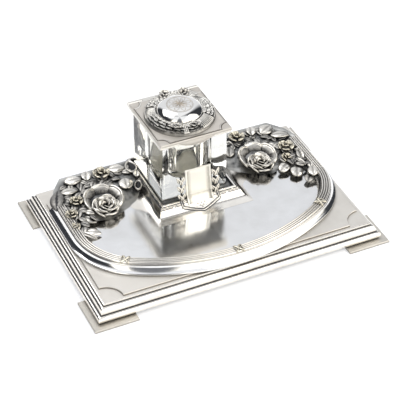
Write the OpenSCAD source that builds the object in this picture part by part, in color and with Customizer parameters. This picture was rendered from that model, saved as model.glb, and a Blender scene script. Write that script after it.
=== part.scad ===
// Desk inkstand in silver plate: a moulded rectangular plinth on four corner feet,
// an oval pen tray with a reeded rim, two panels of roses and a square glass inkwell
// with a hinged lid, standing in a holder behind a small plaque.
// Units are millimetres. +X is the long axis, +Y points to the back, +Z is up.
// The origin is the middle of the resting rectangle of the four feet.

/* [Feet] */
// overall width across the feet
foot_span_x = 250; // [240:1:260]
// overall depth across the feet
foot_span_y = 165.5; // [164:0.5:172]
// thickness of the foot plates
foot_t = 2; // [1.6:0.1:2.4]
// length of each arm of a foot
foot_arm = 35.5; // [30:0.5:40]
// width of each arm of a foot
foot_w = 15; // [13:0.5:18]

/* [Plinth] */
// width of the plinth at its lowest moulding
plinth_w = 240; // [236:0.5:240]
// depth of the plinth at its lowest moulding
plinth_d = 155; // [154:0.5:158]
// radius of the concave corners of the raised panel
notch_r = 14; // [8:0.5:16]

/* [Pen tray] */
// thickness of the tray floor
floor_t = 1; // [0.8:0.1:1.4]
// height of the reeded rim above the tray's underside
rim_h = 9; // [8.6:0.1:9.4]
// pitch of the reeds on the rim
reed_pitch = 1.9; // [1.7:0.05:2]

/* [Roses] */
// outer radius of a rose
rose_r = 15.6; // [14:0.2:16]
// height of a rose above the tray floor
rose_h = 11; // [9:0.5:12]

/* [Inkwell] */
// width of the glass block
glass_w = 56.8; // [54:0.2:57]
// depth of the glass block
glass_d = 57.4; // [54:0.2:57.4]
// height of the glass block
glass_h = 51.3; // [46:0.1:56]
// radius of the neck bore
neck_r = 14; // [12:0.5:15]
// radius of the ink chamber
chamber_r = 19; // [16:0.5:22]
// bevel on the upright edges of the glass
glass_bevel = 2.4; // [1:0.2:4]

/* [Lid] */
// width of the lid plate
lid_w = 60.8; // [60:0.2:62]
// outer radius of the wreath
wreath_r = 28.3; // [26:0.1:28.4]
// radius of the dome
dome_r = 18.4; // [17:0.2:19]
// height of the dome
dome_h = 6.2; // [4:0.2:8]
// radius of the hinge barrel
barrel_r = 2.1; // [1.9:0.05:2.2]
// radius of the hinge pin
pin_r = 0.8; // [0.6:0.05:1]

/* [Plaque] */
// width of the plaque
plaque_w = 22; // [18:0.5:23]
// height of the plaque's top above the feet
plaque_top = 50.5; // [44:0.5:56]

/* [Hidden] */
$fn = 72;
eps = 0.01;
sheet = 1.2;
plinth_z = foot_t;
step_1 = 5.6;
step_2 = 10.6;
plinth_h = 13.1;
plinth_top = plinth_z + plinth_h;
panel_rise = 1.3;
tray_z = plinth_top + panel_rise;
floor_top = tray_z + floor_t;
reed_base = tray_z + 7;
rim_half = 3.8;
strip_t = 0.9;
reed_w = 1.24;
// four-centre oval that the middle of the reeded rim follows
oval_y = -1;
half_x = 104.3;
half_y = 64.5;
end_r = 50;
end_c = half_x - end_r;
front_r = (end_c * end_c + half_y * half_y - end_r * end_r) / (2 * (half_y - end_r));
front_c = front_r - half_y;
joint_a = atan(end_c / front_c);
tie_a = 34;
side_y = 43;
back_y = 70;
// rose panels
panel_top = tray_z + 8.2;
rose_x = 70.5;
rose_y = 24.5;
blossom_r = 5.2;
// pedestal and holder
ped_half = 31.9;
ped_front = 4.5;
ped_back = 72;
ped_side = 9.3;
ped_toe = 15;
holder_z = floor_top + 4.6;
ledge_z = holder_z + 2;
lip = 0.5;
// inkwell
glass_y = 41.9;
glass_z = holder_z + 0.3;
glass_top = glass_z + glass_h;
mount_top = glass_top + 1.8;
lid_z = mount_top + 0.4;
lid_top = lid_z + 2;
field_top = lid_top + 0.4;
lid_y = 42.2;
lid_front = 10.6;
lid_back = 72.6;
hinge_y = 75;
hinge_z = lid_z - 0.2;
knuckle_gap = 0.3;
sleeve_r = neck_r - 1.2;
wreath_h = 5.2;
// directions of the wreath's roses, counted from +X
wreath_rose_a = [-122, -83, 58, 97];
// fasteners of the holder
stud_r = 1.5;
stud_x = 24;
stud_y = [14, 62];

silver = [0.78, 0.77, 0.74];
dark_silver = [0.55, 0.54, 0.53];
glass = [0.80, 0.88, 0.86];
brass = [0.72, 0.60, 0.34];

// ---- plinth ----

// section through the plinth: two rounded mouldings and a square fillet under the top
module plinth_section(half) {
    translate([-half, 0]) square([2 * half, step_1 - 2]);
    translate([-half + 2, 0]) square([2 * half - 4, step_1]);
    for (s = [-1, 1]) translate([s * (half - 2), step_1 - 2]) circle(r = 2);
    translate([-half + 3.2, step_1 - 1]) square([2 * half - 6.4, 3]);
    translate([-half + 6.2, step_1 - 1]) square([2 * half - 12.4, step_2 - step_1 + 1]);
    for (s = [-1, 1]) translate([s * (half - 6.2), step_2 - 3]) circle(r = 3);
    translate([-half + 7, step_2 - 1]) square([2 * half - 14, plinth_h - step_2 + 1]);
}

// section of the hollow under the plinth
module hollow_section(half) {
    translate([-half + 1.6, -1]) square([2 * half - 3.2, step_1 - 1.4]);
    translate([-half + 4.8, -1]) square([2 * half - 9.6, step_1 + 2.6]);
    translate([-half + 8.4, -1]) square([2 * half - 16.8, plinth_h + 1 - sheet]);
}

module along_x(length) {
    rotate([90, 0, 90]) translate([0, 0, -length / 2]) linear_extrude(length) children();
}

module along_y(length) {
    rotate([90, 0, 0]) translate([0, 0, -length / 2]) linear_extrude(length) children();
}

module stud_holes(r, z, h) {
    for (x = [-stud_x, stud_x], y = stud_y) translate([x, y, z]) cylinder(r = r, h = h);
}

module plinth() color(silver) difference() {
    union() {
        translate([0, 0, plinth_z]) intersection() {
            along_y(plinth_d + 20) plinth_section(plinth_w / 2);
            along_x(plinth_w + 20) plinth_section(plinth_d / 2);
        }
        translate([0, 0, plinth_top - eps]) linear_extrude(panel_rise + eps) raised_panel();
    }
    translate([0, 0, plinth_z]) intersection() {
        along_y(plinth_d + 20) hollow_section(plinth_w / 2);
        along_x(plinth_w + 20) hollow_section(plinth_d / 2);
    }
    stud_holes(stud_r + 0.1, plinth_z, 30);
}

// raised panel on the plinth with concave corners
module raised_panel() difference() {
    square([plinth_w - 19.6, plinth_d - 18.6], center = true);
    for (sx = [-1, 1], sy = [-1, 1])
        translate([sx * (plinth_w / 2 - 9.8), sy * (plinth_d / 2 - 9.3)]) circle(r = notch_r);
}

// L-shaped foot plate with its outer corner at the outside
module foot(sx, sy) color(silver)
    translate([sx * foot_span_x / 2, sy * foot_span_y / 2, 0]) mirror([sx < 0 ? 0 : 1, 0, 0])
        mirror([0, sy < 0 ? 0 : 1, 0]) linear_extrude(foot_t) {
            square([foot_arm, foot_w]);
            square([foot_w, foot_arm]);
        }

// ---- pen tray ----

// area inside the tray outline, grown outwards by off from the middle of the rim
module tray_plan(off) {
    for (s = [-1, 1]) translate([s * end_c, oval_y]) circle(r = end_r + off);
    intersection() {
        translate([0, oval_y + front_c]) circle(r = front_r + off);
        polygon([[-end_c, oval_y], [end_c, oval_y],
                 [end_c + 140 * sin(joint_a), oval_y - 140 * cos(joint_a)],
                 [-end_c - 140 * sin(joint_a), oval_y - 140 * cos(joint_a)]]);
    }
    polygon([[-half_x - off, oval_y], [half_x + off, oval_y], [half_x + off, side_y],
             [99.7 + off, 56], [89.2 + off, back_y], [-89.2 - off, back_y], [-99.7 - off, 56],
             [-half_x - off, side_y]]);
}

// sweeps a section along the rim: two straight sides, two end arcs and the front arc
module along_rim() {
    for (s = [0, 1]) mirror([s, 0, 0]) {
        translate([half_x, side_y, 0]) rotate([90, 0, 0]) linear_extrude(side_y - oval_y) children();
        translate([end_c, oval_y, 0]) rotate([0, 0, joint_a - 90])
            rotate_extrude(angle = 90 - joint_a) translate([end_r, 0]) children();
    }
    translate([0, oval_y + front_c, 0]) rotate([0, 0, -90 - joint_a])
        rotate_extrude(angle = 2 * joint_a) translate([front_r, 0]) children();
}

// section of the tray wall: dished inside, concave and beaded outside
module wall_section() {
    difference() {
        translate([-9.2, tray_z]) square([17, 7]);
        translate([-9.3, tray_z + 6.8]) circle(r = 6);
        translate([11.6, tray_z + 7.4]) circle(r = 7.6);
        translate([5.4, tray_z + 2.6]) square([4, 5]);
    }
    translate([6.6, tray_z + 1.6]) circle(r = 1);
}

module pen_tray() color(silver) difference() {
    union() {
        translate([0, 0, tray_z]) linear_extrude(floor_t) tray_plan(7.8);
        along_rim() wall_section();
    }
    stud_holes(stud_r + 0.1, tray_z - 1, 3);
}

// plan of a band along the rim, off outside its middle line
module rim_band(off, half_w) intersection() {
    difference() {
        tray_plan(off + half_w);
        tray_plan(off - half_w);
    }
    translate([-foot_span_x, -foot_span_y]) square([2 * foot_span_x, foot_span_y + side_y]);
}

// a crossed ribbon tie lying over the rim at the origin, across +X
module tie() for (a = [-32, 32]) rotate([0, 0, a])
    translate([-4.6, -0.65, reed_base + 1]) cube([9.2, 1.3, rim_h - 7.2]);

module all_ties() {
    translate([0, oval_y + front_c - front_r, 0]) rotate([0, 0, -90]) tie();
    for (s = [0, 1]) mirror([s, 0, 0]) translate([end_c, oval_y, 0]) rotate([0, 0, tie_a - 90])
        translate([end_r, 0, 0]) tie();
}

// a flat strip with four reeds along it
module tray_rim() color(silver) difference() {
    union() {
        translate([0, 0, reed_base]) linear_extrude(strip_t) rim_band(0, rim_half);
        for (i = [-1.5:1.5]) translate([0, 0, reed_base + strip_t - eps])
            linear_extrude(tray_z + rim_h - reed_base - strip_t + eps) rim_band(i * reed_pitch, reed_w / 2);
    }
    all_ties();
}

module rim_ties() color(silver) all_ties();

// ---- rose panels ----

// plan of the right-hand rose panel
module panel_plan() difference() {
    polygon([[34, back_y], [93, back_y], [103.5, 56], [half_x + rim_half, side_y],
             [half_x - rim_half, side_y], [half_x - rim_half, 14], [92, 20], [52, 22], [44, 16],
             [38, 12], [34, 12]]);
    translate([rose_x, rose_y]) circle(r = rose_r + 0.5);
}

module rose_panel() color(silver) difference() {
    translate([0, 0, floor_top]) linear_extrude(panel_top - floor_top) panel_plan();
    pedestal_solid();
    translate([ped_half - 4, ped_front, holder_z - eps]) cube([4, ped_back, 10]);
    // the tray wall keeps its own place along the side
    translate([half_x, side_y + eps, 0]) rotate([90, 0, 0]) linear_extrude(60) wall_section();
}

// an open rose: a cup of outer petals round a ring of petals and a bud
module rose() color(silver) translate([rose_x, rose_y, floor_top]) intersection() {
    union() {
        cylinder(r = rose_r, h = 2);
        difference() {
            cylinder(r = rose_r, h = rose_h - 4.5);
            translate([0, 0, 1]) cylinder(r = rose_r - 1.6, h = rose_h);
        }
        for (a = [0:72:288]) rotate([0, 0, a]) translate([7.2, 0, 3]) sphere(r = 5.2);
        translate([0, 0, rose_h - 5]) sphere(r = 5);
        cylinder(r = 4, h = rose_h - 4);
    }
    cylinder(r = rose_r + 1, h = rose_h + 1);
}

// pointed leaf outline from two arcs, centred, with its length along X
module leaf_plan(length, width) {
    arc_r = (length * length + width * width) / (4 * width);
    intersection() {
        translate([0, arc_r - width / 2]) circle(r = arc_r);
        translate([0, width / 2 - arc_r]) circle(r = arc_r);
    }
}

module leaf(x, y, length, width, turn, z, h)
    translate([x, y, z]) rotate([0, 0, turn]) linear_extrude(h) leaf_plan(length, width);

module rose_clearance() translate([rose_x, rose_y, 0]) cylinder(r = rose_r + 0.1, h = 60);

module blossom_clearance(spots) for (p = spots) translate([p[0], p[1], 0]) cylinder(r = blossom_r + 0.1, h = 60);

// leaves that both panels share, written for the right-hand side
module shared_leaves() {
    leaf(47.5, 63, 12, 9, -10, panel_top, 1.6);
    leaf(38.6, 60, 8, 6, 80, panel_top, 1.3);
    leaf(46, 44.5, 14, 11, 70, panel_top, 2);
    leaf(38.8, 38, 9, 4, 60, panel_top, 1.6);
    leaf(74.5, 63, 12, 8, 75, panel_top, 1.5);
}

module leaves_right() color(silver) difference() {
    union() {
        shared_leaves();
        leaf(87.5, 60.5, 14, 11, 20, panel_top, 1.7);
        leaf(95, 49, 14, 9, -25, panel_top, 1.7);
        leaf(96, 36, 10, 6, -60, panel_top, 1.4);
        leaf(80, 8, 15, 9, 35, floor_top, 3.4);
        leaf(85.5, 2, 14, 9, 75, floor_top, 3.4);
        leaf(88, 14, 14, 8, -40, floor_top, 3.4);
    }
    rose_clearance();
    blossom_clearance(spots_right);
    panel_block(0);
}

module leaves_left() color(silver) difference() {
    union() {
        mirror([1, 0, 0]) shared_leaves();
        leaf(-84, 62, 15, 10, -15, panel_top, 1.7);
        leaf(-96.5, 50, 12, 7, 50, panel_top, 1.5);
        leaf(-95.5, 35, 14, 7, 75, panel_top, 1.7);
        leaf(-87.5, 1.5, 12, 8, -40, floor_top, 3.4);
        leaf(-91.5, 12.5, 11, 6.5, 80, floor_top, 3.4);
    }
    mirror([1, 0, 0]) rose_clearance();
    blossom_clearance(spots_left);
    panel_block(1);
}

// the block that a panel fills, where low leaves stop; side 1 is the left-hand panel
module panel_block(side) mirror([side, 0, 0])
    translate([0, 0, floor_top - 1]) linear_extrude(panel_top - floor_top + 1) panel_plan();

spots_right = [[60, 61], [92, 24]];
spots_left = [[-60, 61], [-92, 24]];

// five-petalled blossom standing on the panel
module blossom(x, y) translate([x, y, panel_top]) intersection() {
    union() {
        for (a = [0:72:288]) rotate([0, 0, a]) translate([2.9, 0, 0.2]) sphere(r = 2.2);
        sphere(r = 2.6);
    }
    cylinder(r = 8, h = 5);
}

module blossoms_right() color(silver) for (p = spots_right) blossom(p[0], p[1]);

module blossoms_left() color(silver) for (p = spots_left) blossom(p[0], p[1]);

// ---- pedestal, holder, plaque and laurel ----

// side section of the pedestal: a cove above a low toe; reach is how far the toe stands out
module pedestal_edge(reach) {
    cove = reach * 0.4;
    translate([-40, floor_top]) square([40, holder_z - floor_top]);
    difference() {
        translate([-1, floor_top]) square([1 + cove, holder_z - floor_top]);
        translate([cove + 1.2, holder_z + 0.9]) circle(r = cove + 0.9);
    }
    translate([-1, floor_top]) square([1 + cove + 0.5, 1.1]);
    difference() {
        translate([-1, floor_top]) square([1 + reach, 0.9]);
        translate([reach + 0.4, floor_top + reach * 0.5 + 0.35]) circle(r = reach * 0.5 + 0.15);
    }
}

module pedestal_solid() intersection() {
    along_y(300) {
        for (s = [0, 1]) mirror([s, 0]) translate([ped_half, 0]) pedestal_edge(ped_side);
    }
    translate([0, ped_front, 0]) along_x(300) {
        mirror([1, 0]) pedestal_edge(ped_toe);
        translate([0, floor_top]) square([ped_back - ped_front, holder_z - floor_top]);
    }
}

module pedestal() color(silver) difference() {
    pedestal_solid();
    stud_holes(stud_r + 0.1, floor_top - 1, 10);
}

module holder_frame() color(silver) difference() {
    union() {
        translate([-ped_half, ped_front, holder_z]) cube([2 * ped_half, ped_back - ped_front, ledge_z - holder_z]);
        difference() {
            translate([-ped_half, ped_front, ledge_z - eps])
                cube([2 * ped_half, ped_back - ped_front, lip + eps]);
            translate([-ped_half + 0.9, ped_front + 0.9, ledge_z - 1])
                cube([2 * ped_half - 1.8, ped_back - ped_front - 1.8, 4]);
        }
    }
    translate([-glass_w / 2 - 0.3, glass_y - glass_d / 2 - 0.3, holder_z - 1])
        cube([glass_w + 0.6, glass_d + 0.6, 10]);
}

// side view of the plaque: a leaning slab whose foot turns outwards
module plaque_section() polygon([[1.2, holder_z - 0.2], [6, 27.5], [9.4, plaque_top],
                                 [10.6, plaque_top], [7.3, 27.5], [2.5, holder_z - 0.2]]);

module plaque() color(silver) difference() {
    along_x(plaque_w) plaque_section();
    translate([-20, ped_front, holder_z - 5]) cube([40, 30, ledge_z + lip - holder_z + 5]);
    pedestal_solid();
}

// three buds of laurel, one above another, against the edge of the plaque
module laurel() color(silver) difference() {
    union() for (i = [0:2]) translate([14.7, 8.4, 27.6 + 6.4 * i]) sphere(r = 3.7);
    translate([-plaque_w / 2, -10, 10]) cube([plaque_w, 40, 60]);
    translate([0, -10, ledge_z - 10]) cube([40, 40, 10]);
}

module holder_studs() color(brass) stud_holes(stud_r, 8.5, holder_z - 8.5);

module holder_washers() color(brass) for (x = [-stud_x, stud_x], y = stud_y)
    translate([x, y, plinth_top - sheet - 0.8]) difference() {
        cylinder(r = 3.5, h = 0.8);
        translate([0, 0, -1]) cylinder(r = stud_r, h = 3);
    }

module holder_nuts() color(brass) for (x = [-stud_x, stud_x], y = stud_y)
    translate([x, y, plinth_top - sheet - 3.2]) difference() {
        cylinder(r = 3.2, h = 2.4, $fn = 6);
        translate([0, 0, -1]) cylinder(r = stud_r, h = 5);
    }

// ---- inkwell ----

module glass_plan() {
    w = glass_w / 2;
    d = glass_d / 2;
    b = glass_bevel;
    polygon([[-w + b, -d], [w - b, -d], [w, -d + b], [w, d - b], [w - b, d], [-w + b, d],
             [-w, d - b], [-w, -d + b]]);
}

module glass_well() color(glass) difference() {
    translate([0, glass_y, glass_z]) linear_extrude(glass_h) glass_plan();
    translate([0, glass_y, glass_z + 9]) {
        translate([0, 0, 8]) cylinder(r = chamber_r, h = glass_h - 27);
        intersection() {
            translate([0, 0, chamber_r + 3]) sphere(r = chamber_r + 3);
            cylinder(r = chamber_r, h = 9);
        }
    }
    translate([0, glass_y, glass_z + 20]) cylinder(r = neck_r, h = glass_h);
}

// hinge knuckle number i of five, counted from the left
module knuckle(i, bore) {
    length = lid_w / 5;
    translate([-lid_w / 2 + i * length + knuckle_gap / 2, hinge_y, hinge_z]) rotate([0, 90, 0])
        difference() {
            cylinder(r = barrel_r, h = length - knuckle_gap);
            translate([0, 0, -1]) cylinder(r = bore, h = length + 2);
        }
}

// strip joining a knuckle to its plate
module knuckle_web(i, z, h, bore) {
    length = lid_w / 5;
    difference() {
        translate([-lid_w / 2 + i * length + knuckle_gap / 2, lid_back - 1, z])
            cube([length - knuckle_gap, hinge_y - lid_back + 1, h]);
        translate([-lid_w, hinge_y, hinge_z]) rotate([0, 90, 0]) cylinder(r = bore + 0.4, h = 2 * lid_w);
    }
}

module mount_plate() color(silver) {
    difference() {
        translate([-lid_w / 2, lid_front + 1.2, glass_top])
            cube([lid_w, lid_back - 0.2 - lid_front - 1.2, mount_top - glass_top]);
        translate([0, glass_y, glass_top - 1]) cylinder(r = sleeve_r, h = 5);
        // room for the lid's knuckles to turn
        for (i = [1, 3]) translate([-lid_w / 2 + i * lid_w / 5 - knuckle_gap / 2, hinge_y, hinge_z])
            rotate([0, 90, 0]) cylinder(r = barrel_r + 0.35, h = lid_w / 5 + knuckle_gap);
    }
    translate([0, glass_y, glass_top - 7]) difference() {
        cylinder(r = neck_r, h = 7 + eps);
        translate([0, 0, -1]) cylinder(r = sleeve_r, h = 12);
    }
    for (i = [0, 2, 4]) {
        knuckle(i, pin_r);
        knuckle_web(i, glass_top, mount_top - glass_top, pin_r);
    }
}

module hinge_pin() color(dark_silver) translate([-lid_w / 2 + 0.2, hinge_y, hinge_z])
    rotate([0, 90, 0]) cylinder(r = pin_r, h = lid_w - 0.4);

// ---- lid ----

module lid_field() difference() {
    translate([-lid_w / 2 + 1.4, lid_front + 1.6]) square([lid_w - 2.8, lid_back - lid_front - 2.4]);
    for (sx = [-1, 1], y = [lid_front + 1.6, lid_back - 0.8])
        translate([sx * (lid_w / 2 - 1.4), y]) circle(r = 7);
}

module lid_plate() color(silver) {
    difference() {
        union() {
            translate([-lid_w / 2, lid_front, lid_z]) cube([lid_w, lid_back - lid_front, lid_top - lid_z]);
            translate([0, 0, lid_top - eps]) linear_extrude(field_top - lid_top + eps) lid_field();
        }
        translate([0, lid_y, lid_z - 1]) cylinder(r = dome_r - 1.4, h = 5);
        // room for the fixed knuckles
        for (i = [0, 2, 4]) translate([-lid_w / 2 + i * lid_w / 5 - knuckle_gap / 2, hinge_y, hinge_z])
            rotate([0, 90, 0]) cylinder(r = barrel_r + 0.35, h = lid_w / 5 + knuckle_gap);
    }
    // thumb lip hanging from the front edge
    translate([0, lid_front + 0.8, 0]) rotate([90, 0, 0]) linear_extrude(0.8) intersection() {
        translate([0, lid_z + 26]) circle(r = 30.5);
        translate([-20, lid_z - 10]) square([40, 10 + eps]);
    }
    for (i = [1, 3]) {
        knuckle(i, pin_r + 0.06);
        knuckle_web(i, lid_z, lid_top - lid_z - 0.1, pin_r + 0.06);
    }
}

// half section of the raised cushion that carries the wreath, open under the dome
module wreath_section() difference() {
    union() {
        translate([dome_r - 1.4, 0]) square([wreath_r - dome_r + 1.4, 0.9]);
        intersection() {
            translate([wreath_r - 9.4, -3.8]) circle(r = 9.2);
            translate([dome_r - 1.4, 0]) square([20, wreath_h]);
        }
        translate([dome_r - 1.4, 0]) square([2.2, wreath_h]);
    }
    translate([0, -1]) square([dome_r - 1.4, 10]);
}

module lid_wreath() color(silver) translate([0, lid_y, field_top]) rotate_extrude() wreath_section();

// small domed roses that sit on the cushion
module wreath_roses() color(silver) translate([0, lid_y, field_top]) difference() {
    for (a = wreath_rose_a) rotate([0, 0, a]) translate([wreath_r - 5.2, 0, 4]) sphere(r = 2.8);
    rotate_extrude() wreath_section();
}

module lid_dome() color(silver) translate([0, lid_y, field_top + wreath_h]) rotate_extrude() {
    difference() {
        dome_outline(0);
        dome_outline(1);
    }
}

// half section of the dome: a rounded shoulder under a low crown, shrunk by t
module dome_outline(t) {
    crown = (dome_r * dome_r) / (2 * (dome_h - 2)) + (dome_h - 2) / 2;
    intersection() {
        translate([0, 0]) square([dome_r - t, dome_h]);
        translate([0, dome_h - crown]) circle(r = crown - t, $fn = 200);
        union() {
            square([dome_r - 2.5, dome_h]);
            square([dome_r - t, 2]);
            translate([dome_r - 2.8, 1.9]) circle(r = 2.8 - t);
        }
    }
}

module lid_liner() color(silver) translate([0, lid_y, lid_z]) {
    translate([0, 0, 0.4]) cylinder(r = dome_r - 1.4, h = 1);
    translate([0, glass_y - lid_y, -1.4]) cylinder(r = sleeve_r - 0.6, h = 1.9);
}

plinth();
foot(-1, -1);  // foot_front_left
foot(1, -1);  // foot_front_right
foot(-1, 1);  // foot_back_left
foot(1, 1);  // foot_back_right
pen_tray();
tray_rim();
rim_ties();
mirror([1, 0, 0]) rose_panel();  // rose_panel_left
rose_panel();  // rose_panel_right
mirror([1, 0, 0]) rose();  // rose_left
rose();  // rose_right
leaves_left();
leaves_right();
blossoms_left();
blossoms_right();
pedestal();
holder_frame();
plaque();
mirror([1, 0, 0]) laurel();  // laurel_left
laurel();  // laurel_right
holder_studs();
holder_washers();
holder_nuts();
glass_well();
mount_plate();
hinge_pin();
lid_plate();
lid_wreath();
wreath_roses();
lid_dome();
lid_liner();
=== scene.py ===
"""Looks of the desk inkstand: silver-plated stand with pen tray and roses, glass well, and hinged lid.

Lengths are in millimetres in the object's own frame, and become metres where a mesh is made.
"""
from math import atan2, cos, degrees, exp, hypot, pi, radians, sin, sqrt
from random import Random

import bmesh
import bpy
from mathutils import Matrix, Vector, noise


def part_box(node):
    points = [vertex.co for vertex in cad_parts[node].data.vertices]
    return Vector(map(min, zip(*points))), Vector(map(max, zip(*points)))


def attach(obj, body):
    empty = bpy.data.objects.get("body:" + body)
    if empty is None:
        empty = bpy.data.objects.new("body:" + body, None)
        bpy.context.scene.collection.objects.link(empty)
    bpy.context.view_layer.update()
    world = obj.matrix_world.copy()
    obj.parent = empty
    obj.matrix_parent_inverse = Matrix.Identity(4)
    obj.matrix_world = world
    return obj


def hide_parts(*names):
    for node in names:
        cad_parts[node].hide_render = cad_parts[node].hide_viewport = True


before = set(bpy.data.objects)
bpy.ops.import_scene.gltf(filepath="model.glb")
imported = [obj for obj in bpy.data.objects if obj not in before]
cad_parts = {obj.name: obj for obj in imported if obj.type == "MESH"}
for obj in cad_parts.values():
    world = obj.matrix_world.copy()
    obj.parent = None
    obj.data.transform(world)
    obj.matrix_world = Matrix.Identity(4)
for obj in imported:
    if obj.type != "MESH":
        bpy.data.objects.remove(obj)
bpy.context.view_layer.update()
MM = 0.001


def box(node):
    """Lowest and highest corner of a CAD node, in millimetres."""
    lo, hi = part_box(node)
    return lo / MM, hi / MM


# ---- sizes, read from the frame ----

PLINTH_LO, PLINTH_HI = box("plinth")
FOOT_LO, FOOT_HI = box("foot_front_left")
TRAY_LO = box("pen_tray")[0]
RIM_LO, RIM_HI = box("tray_rim")
PANEL_HI = box("rose_panel_right")[1]
FRAME_LO, FRAME_HI = box("holder_frame")
PLAQUE_HI = box("plaque")[1]
GLASS_LO, GLASS_HI = box("glass_well")
LID_LO, LID_HI = box("lid_plate")
WREATH_LO, WREATH_HI = box("lid_wreath")
DOME_LO, DOME_HI = box("lid_dome")

FOOT_WIDTH = 15
PLINTH_TOP = PLINTH_HI.z - 1.3
FLOOR = TRAY_LO.z + 1
RIM_HALF = 3.8
SIDE_Y = RIM_HI.y
OVAL_Y = -1
OVAL_X = RIM_HI.x - RIM_HALF
OVAL_DEPTH = OVAL_Y - RIM_LO.y - RIM_HALF
END_R = 50
END_X = OVAL_X - END_R
FRONT_R = (END_X ** 2 + OVAL_DEPTH ** 2 - END_R ** 2) / (2 * (OVAL_DEPTH - END_R))
FRONT_Y = OVAL_Y + FRONT_R - OVAL_DEPTH
LID_Y = (WREATH_LO.y + WREATH_HI.y) / 2
LEAF_Z = PANEL_HI.z + 0.2  # middle of a leaf that lies on the panel
TIE_X = 82.3  # outer ribbons, left and right of the middle one
HINGE_DEPTH = 4.5  # left free of the lid's skin at the back
ROSE_MIDDLE = {"left": (-70.5, 31.5), "right": (65.5, 31)}


# ---- mesh helpers ----

def spread(start, end, count):
    """count + 1 evenly spaced numbers from start to end."""
    return [start + (end - start) * i / count for i in range(count + 1)]


def arc(centre, radii, start, end, count):
    """Points on an ellipse from angle start to angle end, in degrees."""
    return [(centre[0] + radii[0] * cos(radians(a)), centre[1] + radii[1] * sin(radians(a)))
            for a in spread(start, end, count)]


def smooth_step(x):
    x = min(1, max(0, x))
    return x * x * (3 - 2 * x)


class Shape:
    """Gathers points, faces and a darkness per point, from 0 for bright metal to 1 for dark: oxide and wear
    in some places, painted shade in others.
    """

    def __init__(self):
        self.points, self.faces, self.wear_and_shade = [], [], []

    def row(self, points, wear_and_shade=0.0):
        first = len(self.points)
        self.points += [tuple(p) for p in points]
        self.wear_and_shade += list(wear_and_shade) if isinstance(wear_and_shade, (list, tuple)) else [wear_and_shade] * len(points)
        return list(range(first, len(self.points)))

    def skin(self, rows, around=False):
        """Quads between neighbouring rows; around joins the last point of each row to its first."""
        for a, b in zip(rows, rows[1:]):
            for i in range(len(a) if around else len(a) - 1):
                j = (i + 1) % len(a)
                self.faces.append((a[i], a[j], b[j], b[i]))

    def stack(self, levels, closed=False):
        """Joins matching flat loops; each level is (points in plan, height, darkness)."""
        rows = [self.row([(x, y, z) for x, y in plan], wear_and_shade) for plan, z, wear_and_shade in levels]
        self.skin(rows + rows[:1] if closed else rows, around=True)
        if not closed:
            self.faces += [tuple(rows[0]), tuple(rows[-1])]

    def lathe(self, profile, centre, count=96):
        """Turns (radius, height, darkness) points about an upright axis; a radius of 0 closes the end."""
        rows = []
        for r, z, wear_and_shade in profile:
            rows.append(self.row([(centre[0] + r * cos(2 * pi * i / count),
                                   centre[1] + r * sin(2 * pi * i / count), z)
                                  for i in range(count if r else 1)], wear_and_shade))
        for a, b in zip(rows, rows[1:]):
            for i in range(count):
                j = (i + 1) % count
                corners = [a[i % len(a)], a[j % len(a)], b[j % len(b)], b[i % len(b)]]
                self.faces.append(tuple(dict.fromkeys(corners)))

    def tube(self, path, radii, wear_and_shade=0.0, sides=8, closed=False, up=Vector((0, 0, 1))):
        """A tube with an oval section, radii across and along up, that follows a path."""
        path = [Vector(p) for p in path]
        count = len(path)
        rows = []
        for i, p in enumerate(path):
            before = path[(i - 1) % count] if closed or i else p
            after = path[(i + 1) % count] if closed or i < count - 1 else p
            along = (after - before).normalized()
            across = along.cross(up).normalized()
            rise = across.cross(along)
            rows.append(self.row([p + across * radii[0] * cos(a) + rise * radii[1] * sin(a)
                                  for a in spread(0, 2 * pi, sides)[:-1]], wear_and_shade))
        self.skin(rows + rows[:1] if closed else rows, around=True)
        if not closed:
            self.faces += [tuple(rows[0]), tuple(rows[-1])]

    def ball(self, centre, radii, wear_and_shade=0.0, count=16, rings=8):
        """An egg-shaped bead."""
        profile = [(radii[0] * sin(a), centre[2] - radii[1] * cos(a), wear_and_shade)
                   for a in spread(0, pi, rings)]
        profile[0], profile[-1] = (0, profile[0][1], wear_and_shade), (0, profile[-1][1], wear_and_shade)
        self.lathe(profile, centre, count)


def make(shape, name, material, body, replaces=(), sharp=32, levels=0, thick=0.0, bevel=0.0):
    """Makes a piece of the object from a Shape and puts it on its body."""
    mesh = bpy.data.meshes.new(name)
    mesh.from_pydata([tuple(c * MM for c in p) for p in shape.points], [], shape.faces)
    wear_and_shade = mesh.attributes.new("wear_and_shade", "FLOAT", "POINT")
    wear_and_shade.data.foreach_set("value", [min(1.0, max(0.0, w)) for w in shape.wear_and_shade])
    work = bmesh.new()
    work.from_mesh(mesh)
    bmesh.ops.recalc_face_normals(work, faces=work.faces)
    work.to_mesh(mesh)
    work.free()
    mesh.shade_smooth()
    mesh.set_sharp_from_angle(angle=radians(sharp))
    piece = bpy.data.objects.new(name, mesh)
    bpy.context.scene.collection.objects.link(piece)
    mesh.materials.append(material)
    if thick:
        solid = piece.modifiers.new("thickness", "SOLIDIFY")
        solid.thickness, solid.offset = thick * MM, -1
    if bevel:
        edge = piece.modifiers.new("edges", "BEVEL")
        edge.width, edge.segments, edge.limit_method = bevel * MM, 2, "ANGLE"
        edge.angle_limit = radians(sharp)
    if levels:
        fine = piece.modifiers.new("fine", "SUBSURF")
        fine.levels = fine.render_levels = levels
    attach(piece, body)
    if replaces:
        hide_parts(*replaces)
    return piece


# ---- outlines ----

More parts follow.
